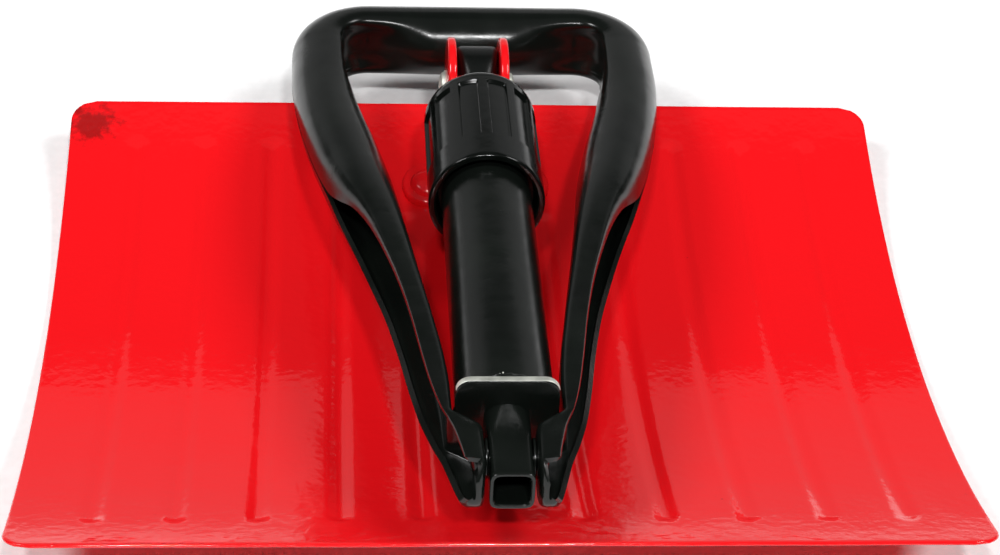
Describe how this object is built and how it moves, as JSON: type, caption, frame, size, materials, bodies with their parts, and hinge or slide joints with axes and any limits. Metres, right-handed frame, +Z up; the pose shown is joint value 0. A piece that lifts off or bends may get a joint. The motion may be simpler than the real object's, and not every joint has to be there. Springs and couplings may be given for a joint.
{
  "type": "folding snow shovel",
  "caption": "Compact folding snow shovel lying folded: ribbed curved red blade, black shaft with screw collar lock, black folding D-handle.",
  "frame": {"origin": "middle of the overall box in plan, on the surface the folded shovel's blade lies on", "axes": "+X across the blade, +Y from the blade's free edge to its hinge edge and the grip, +Z up; the folded shovel is tilted 4.66 degrees about X so that it balances on its ribs"},
  "size_m": [0.292, 0.2788, 0.0684],
  "materials": {
    "red_enamel": "gloss",
    "black_enamel": "satin",
    "black_plastic": "gloss",
    "dark_steel": "satin",
    "zinc": "satin"
  },
  "bodies": {
    "blade": {"blade": "red_enamel", "hinge_bracket": "red_enamel", "blade_rivets": "red_enamel", "hinge_pin": "zinc", "hinge_pin_washers": "zinc"},
    "shaft": {"shaft_tube": "black_enamel", "threaded_sleeve": "dark_steel", "hinge_tongue": "dark_steel", "sleeve_rivets": "zinc", "end_plate": "zinc", "plate_weld": "black_enamel", "stub_tube": "black_enamel", "stub_collar": "zinc"},
    "washer": {"lock_washer": "zinc"},
    "collar": {"lock_collar": "black_plastic"},
    "handle": {"d_handle": "black_enamel", "pivot_pin": "black_enamel", "pivot_washers": "black_enamel"}
  },
  "joints": [
    {"name": "blade_fold", "type": "hinge", "parent": "blade", "child": "shaft", "pos_m": [0, 0.08301, 0.03746], "axis": [-1, 0, 0], "range_deg": [0, 180]},
    {"name": "handle_fold", "type": "hinge", "parent": "shaft", "child": "handle", "pos_m": [0, -0.1231, 0.05426], "axis": [1, 0, 0], "range_deg": [0, 180]},
    {"name": "collar_slide", "type": "slide", "parent": "shaft", "child": "washer", "axis": [0, -0.9967, 0.0812], "range_m": [0, 0.012]},
    {"name": "collar_turn", "type": "hinge", "parent": "washer", "child": "collar", "pos_m": [0, 0.08301, 0.03746], "axis": [0, -0.9967, 0.0812], "range_deg": [0, 1080]}
  ],
  "couplings": [
    {"joint": "handle_fold", "follows": "blade_fold", "ratio": 1},
    {"joint": "collar_slide", "follows": "collar_turn", "m_per_rad": 0.0006366}
  ]
}
